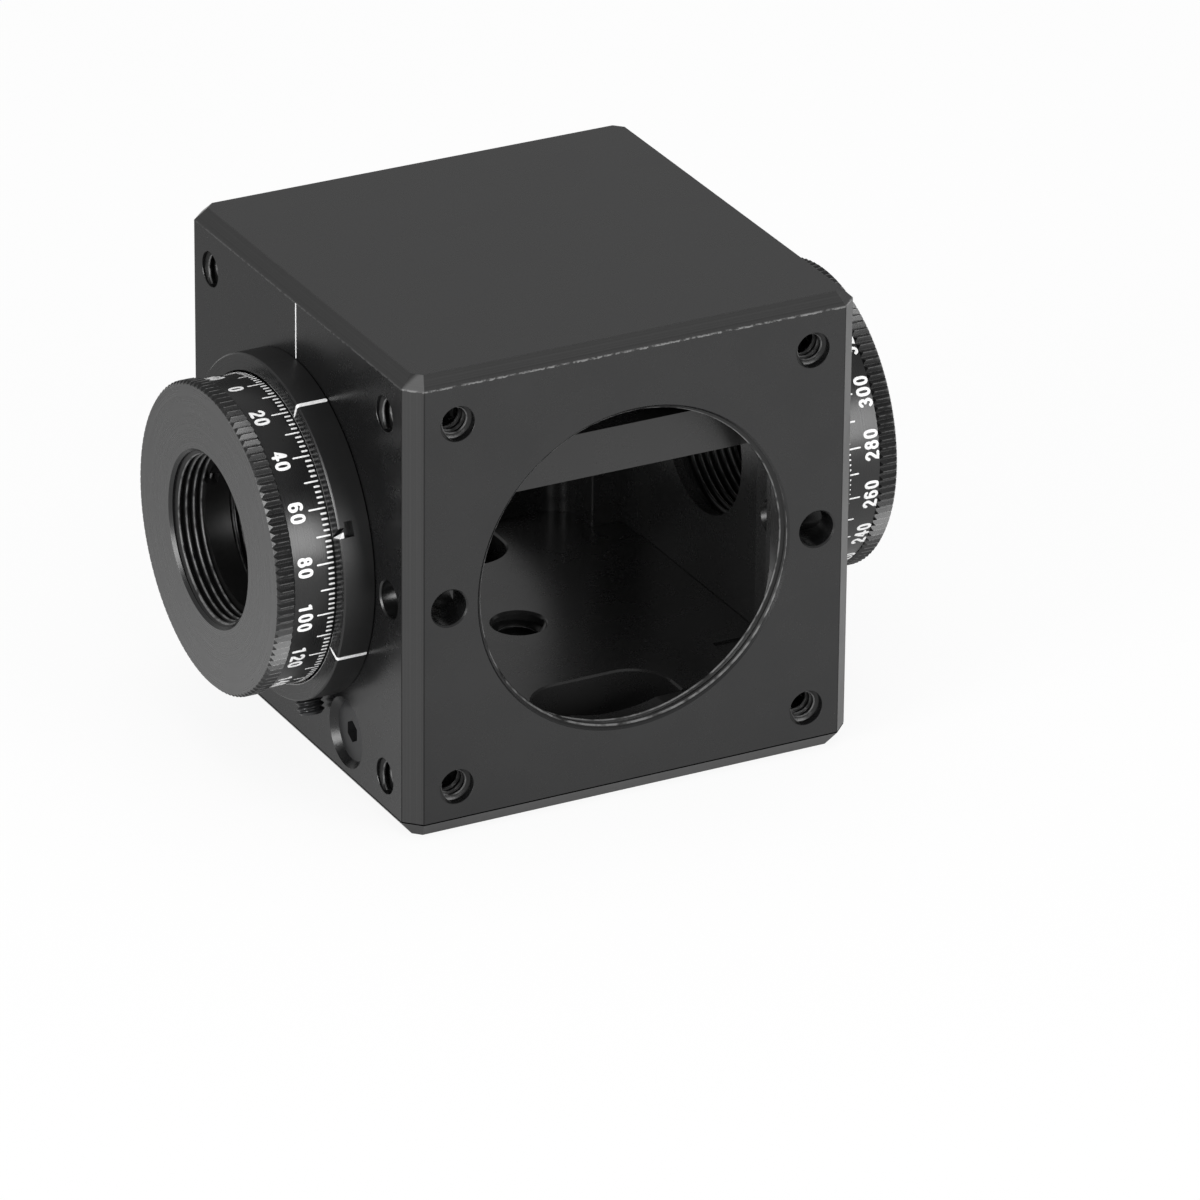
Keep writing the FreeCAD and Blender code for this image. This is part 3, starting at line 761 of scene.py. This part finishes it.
def set_screw(radius, length, pitch, across_flats, socket):
    """A threaded set screw that stands on z = 0, its hexagonal socket open at the top.

    The skin is one grid: rows run from the socket's floor out over the end face and down the thread, and
    columns go round. On thread rows the radius is root + depth · ridge(height / pitch - angle / 2π),
    and no row stands further out than the 45 degree cones at the two ends.
    """
    columns = 48
    rows = int(length / (pitch / 10))
    angle = np.linspace(0, 2 * pi, columns, endpoint=False)
    hexagon = across_flats / 2 / np.cos((angle % (pi / 3)) - pi / 6)
    root = radius - 0.5 * pitch
    height = np.linspace(length, 0, rows)[:, None] + 0 * angle
    wave = np.abs(((height / pitch - angle / (2 * pi)) % 1.0) * 2 - 1)
    ridge = np.clip(wave * 1.35 - 0.18, 0, 1)
    envelope = np.minimum(length - height, height) + radius - 0.30 * mm
    reach = np.minimum(root + (radius - root) * ridge, envelope)
    inner = np.stack([hexagon * 0.5, hexagon, hexagon, hexagon * 1.04])
    inner_depth = np.array([socket + 0.12 * mm, socket, 0.03 * mm, 0.0])[:, None]
    reach = np.concatenate([inner, reach])
    height = np.concatenate([length - inner_depth + 0 * angle, height])
    return np.stack([reach * np.cos(angle), reach * np.sin(angle), height], -1)


def lock_screw(side):
    """The lock screw in the flange's rim, from its soft tip out to its socket."""
    arc = radians(lock_turn)
    _, outwards, away = dial_axes(side, arc)
    reach = np.array([abs(corner.x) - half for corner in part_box("right_lock_screw")])
    radius = (reach.max() - reach.min()) / 2
    low = band_radius + screw_foot
    high = flange_radius + screw_head
    rings = set_screw(radius, high - low, lock_pitch, socket_width, socket_depth)
    foot = np.array((side * (half + reach.mean()), 0, axis_z)) + away * low
    return [tubes(laid(rings, foot, away)[None])]


def stage():
    """The white table under the cube."""
    reach = 3.0
    drop = -0.02 * mm
    mesh = bpy.data.meshes.new("studio_table")
    corners = [(-reach, -reach, drop), (reach, -reach, drop), (reach, reach, drop), (-reach, reach, drop)]
    mesh.from_pydata(corners, [], [(0, 1, 2, 3)])
    mesh.materials.append(studio_floor())
    table = bpy.data.objects.new("studio_table", mesh)
    bpy.context.scene.collection.objects.link(table)


def world():
    """An even pale studio: white to the camera, softer for light and reflections."""
    made = bpy.data.worlds.new("studio")
    bpy.context.scene.world = made
    made.use_nodes = True
    tree = made.node_tree
    back = tree.nodes["Background"]
    back.inputs["Color"].default_value = (1, 1, 1, 1)
    path = tree.nodes.new("ShaderNodeLightPath")
    level = tree.nodes.new("ShaderNodeMapRange")
    level.inputs["To Min"].default_value = 0.45
    level.inputs["To Max"].default_value = 1.0
    tree.links.new(path.outputs["Is Camera Ray"], level.inputs["Value"])
    tree.links.new(level.outputs[0], back.inputs["Strength"])


def lamp(name, azimuth, elevation, distance, size, radiance, glossy=True):
    """A soft rectangular lamp that faces the cube, from a direction in degrees: 0 is +X and 90 is +Y."""
    made = bpy.data.lights.new(name, "AREA")
    made.shape = "RECTANGLE"
    made.size, made.size_y = size
    made.energy = radiance * pi * size[0] * size[1]
    held = bpy.data.objects.new(name, made)
    turn, tilt = radians(azimuth), radians(elevation)
    back = np.array([cos(tilt) * cos(turn), cos(tilt) * sin(turn), sin(tilt)])
    right = np.array([-sin(turn), cos(turn), 0])
    held.matrix_world = pose(right, np.cross(back, right), back, np.array(centre) + back * distance)
    held.visible_glossy = glossy
    bpy.context.scene.collection.objects.link(held)


def pose(right, up, back, place):
    """A matrix from three unit axes and a place."""
    columns = np.eye(4)
    columns[:3, 0], columns[:3, 1], columns[:3, 2], columns[:3, 3] = right, up, back, place
    return Matrix(columns.tolist())


def camera():
    """The photograph's camera: it looks back along its axis, offset sideways and down, with a slight roll."""
    azimuth, elevation, roll = radians(camera_azimuth), radians(camera_elevation), radians(camera_roll)
    back = np.array([sin(azimuth) * cos(elevation), -cos(azimuth) * cos(elevation), sin(elevation)])
    level = np.array([cos(azimuth), sin(azimuth), 0])
    rise = np.cross(back, level)
    right = cos(roll) * level + sin(roll) * rise
    up = cos(roll) * rise - sin(roll) * level
    made = bpy.data.cameras.new("photo_camera")
    made.sensor_width = 36
    made.sensor_fit = "HORIZONTAL"
    made.lens = made.sensor_width * focal_pixels / frame_pixels
    made.clip_start = 0.05
    made.clip_end = 20
    held = bpy.data.objects.new("photo_camera", made)
    place = np.array(centre) + back * camera_distance + right * camera_right + up * camera_up
    held.matrix_world = pose(right, up, back, place)
    bpy.context.scene.collection.objects.link(held)
    bpy.context.scene.camera = held


def dress(node, finish):
    """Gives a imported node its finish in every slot."""
    mesh = frame["nodes"][node].data
    mesh.materials.clear()
    mesh.materials.append(finish)


def main():
    camera()
    stage()
    world()
    lamp("right_softbox", -68, 13, 0.6, (0.3, 0.28), 7.5)
    lamp("left_softbox", -161, 14, 0.6, (0.24, 0.28), 10.0)
    lamp("camera_softbox", -107, 16, 0.9, (0.16, 0.16), 9.0)
    lamp("front_fill", -118, 50, 0.8, (0.5, 0.5), 1.2, glossy=False)
    lamp("overhead_fill", 0, 88, 1.0, (0.8, 0.8), 1.5, glossy=False)

    body = blasted_anodise()
    collar = turned_anodise("collar_anodise", False)
    dial = turned_anodise("dial_anodise", True)
    bore = bore_anodise()
    steel = black_oxide()
    bright = spring_wire()
    plastic = acetal()
    paint = white_fill()
    for node in ("cube_body", "base_plate", "pressure_plate"):
        dress(node, body)
    dress("base_plate_screws", steel)
    dress("plate_guide_screws", steel)
    dress("plate_springs", bright)
    for name in ("front_rod_holes", "back_rod_holes", "left_rod_holes", "right_rod_holes"):
        threads(name.replace("holes", "threads"), hole_threads(name), bore)
    for name in ("front_port", "back_port"):
        threads(name + "_thread", port_threads(name), bore)
    threads("post_thread", post_threads(), bore)
    for side, word in ((-1, "left"), (1, "right")):
        dress(word + "_flange", collar)
        dress(word + "_dial", dial)
        dress(word + "_optic_ring", bore)
        dress(word + "_keeper_ring", bore)
        dress(word + "_slip_washer", plastic)
        dress(word + "_lock_tip", plastic)
        dress(word + "_disc_spring", bright)
        rotor = word + "_rotor"
        piece(word + "_scale_lines", scale_lines(side), paint, rotor)
        piece(word + "_scale_numbers", scale_numbers(side), paint, rotor)
        threads(word + "_bore_thread", bore_threads(side), bore, rotor)
        piece(word + "_flange_marks", flange_marks(side), paint)
        piece(word + "_pointer", window_pointer(side), paint)
        piece(word + "_index_line", index_line(side), paint)
        lock = word + "_lock"
        screw = piece(word + "_threaded_lock_screw", lock_screw(side), steel, lock)
        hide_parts(word + "_lock_screw")
    scene = bpy.context.scene
    scene.view_settings.view_transform = "Standard"


main()
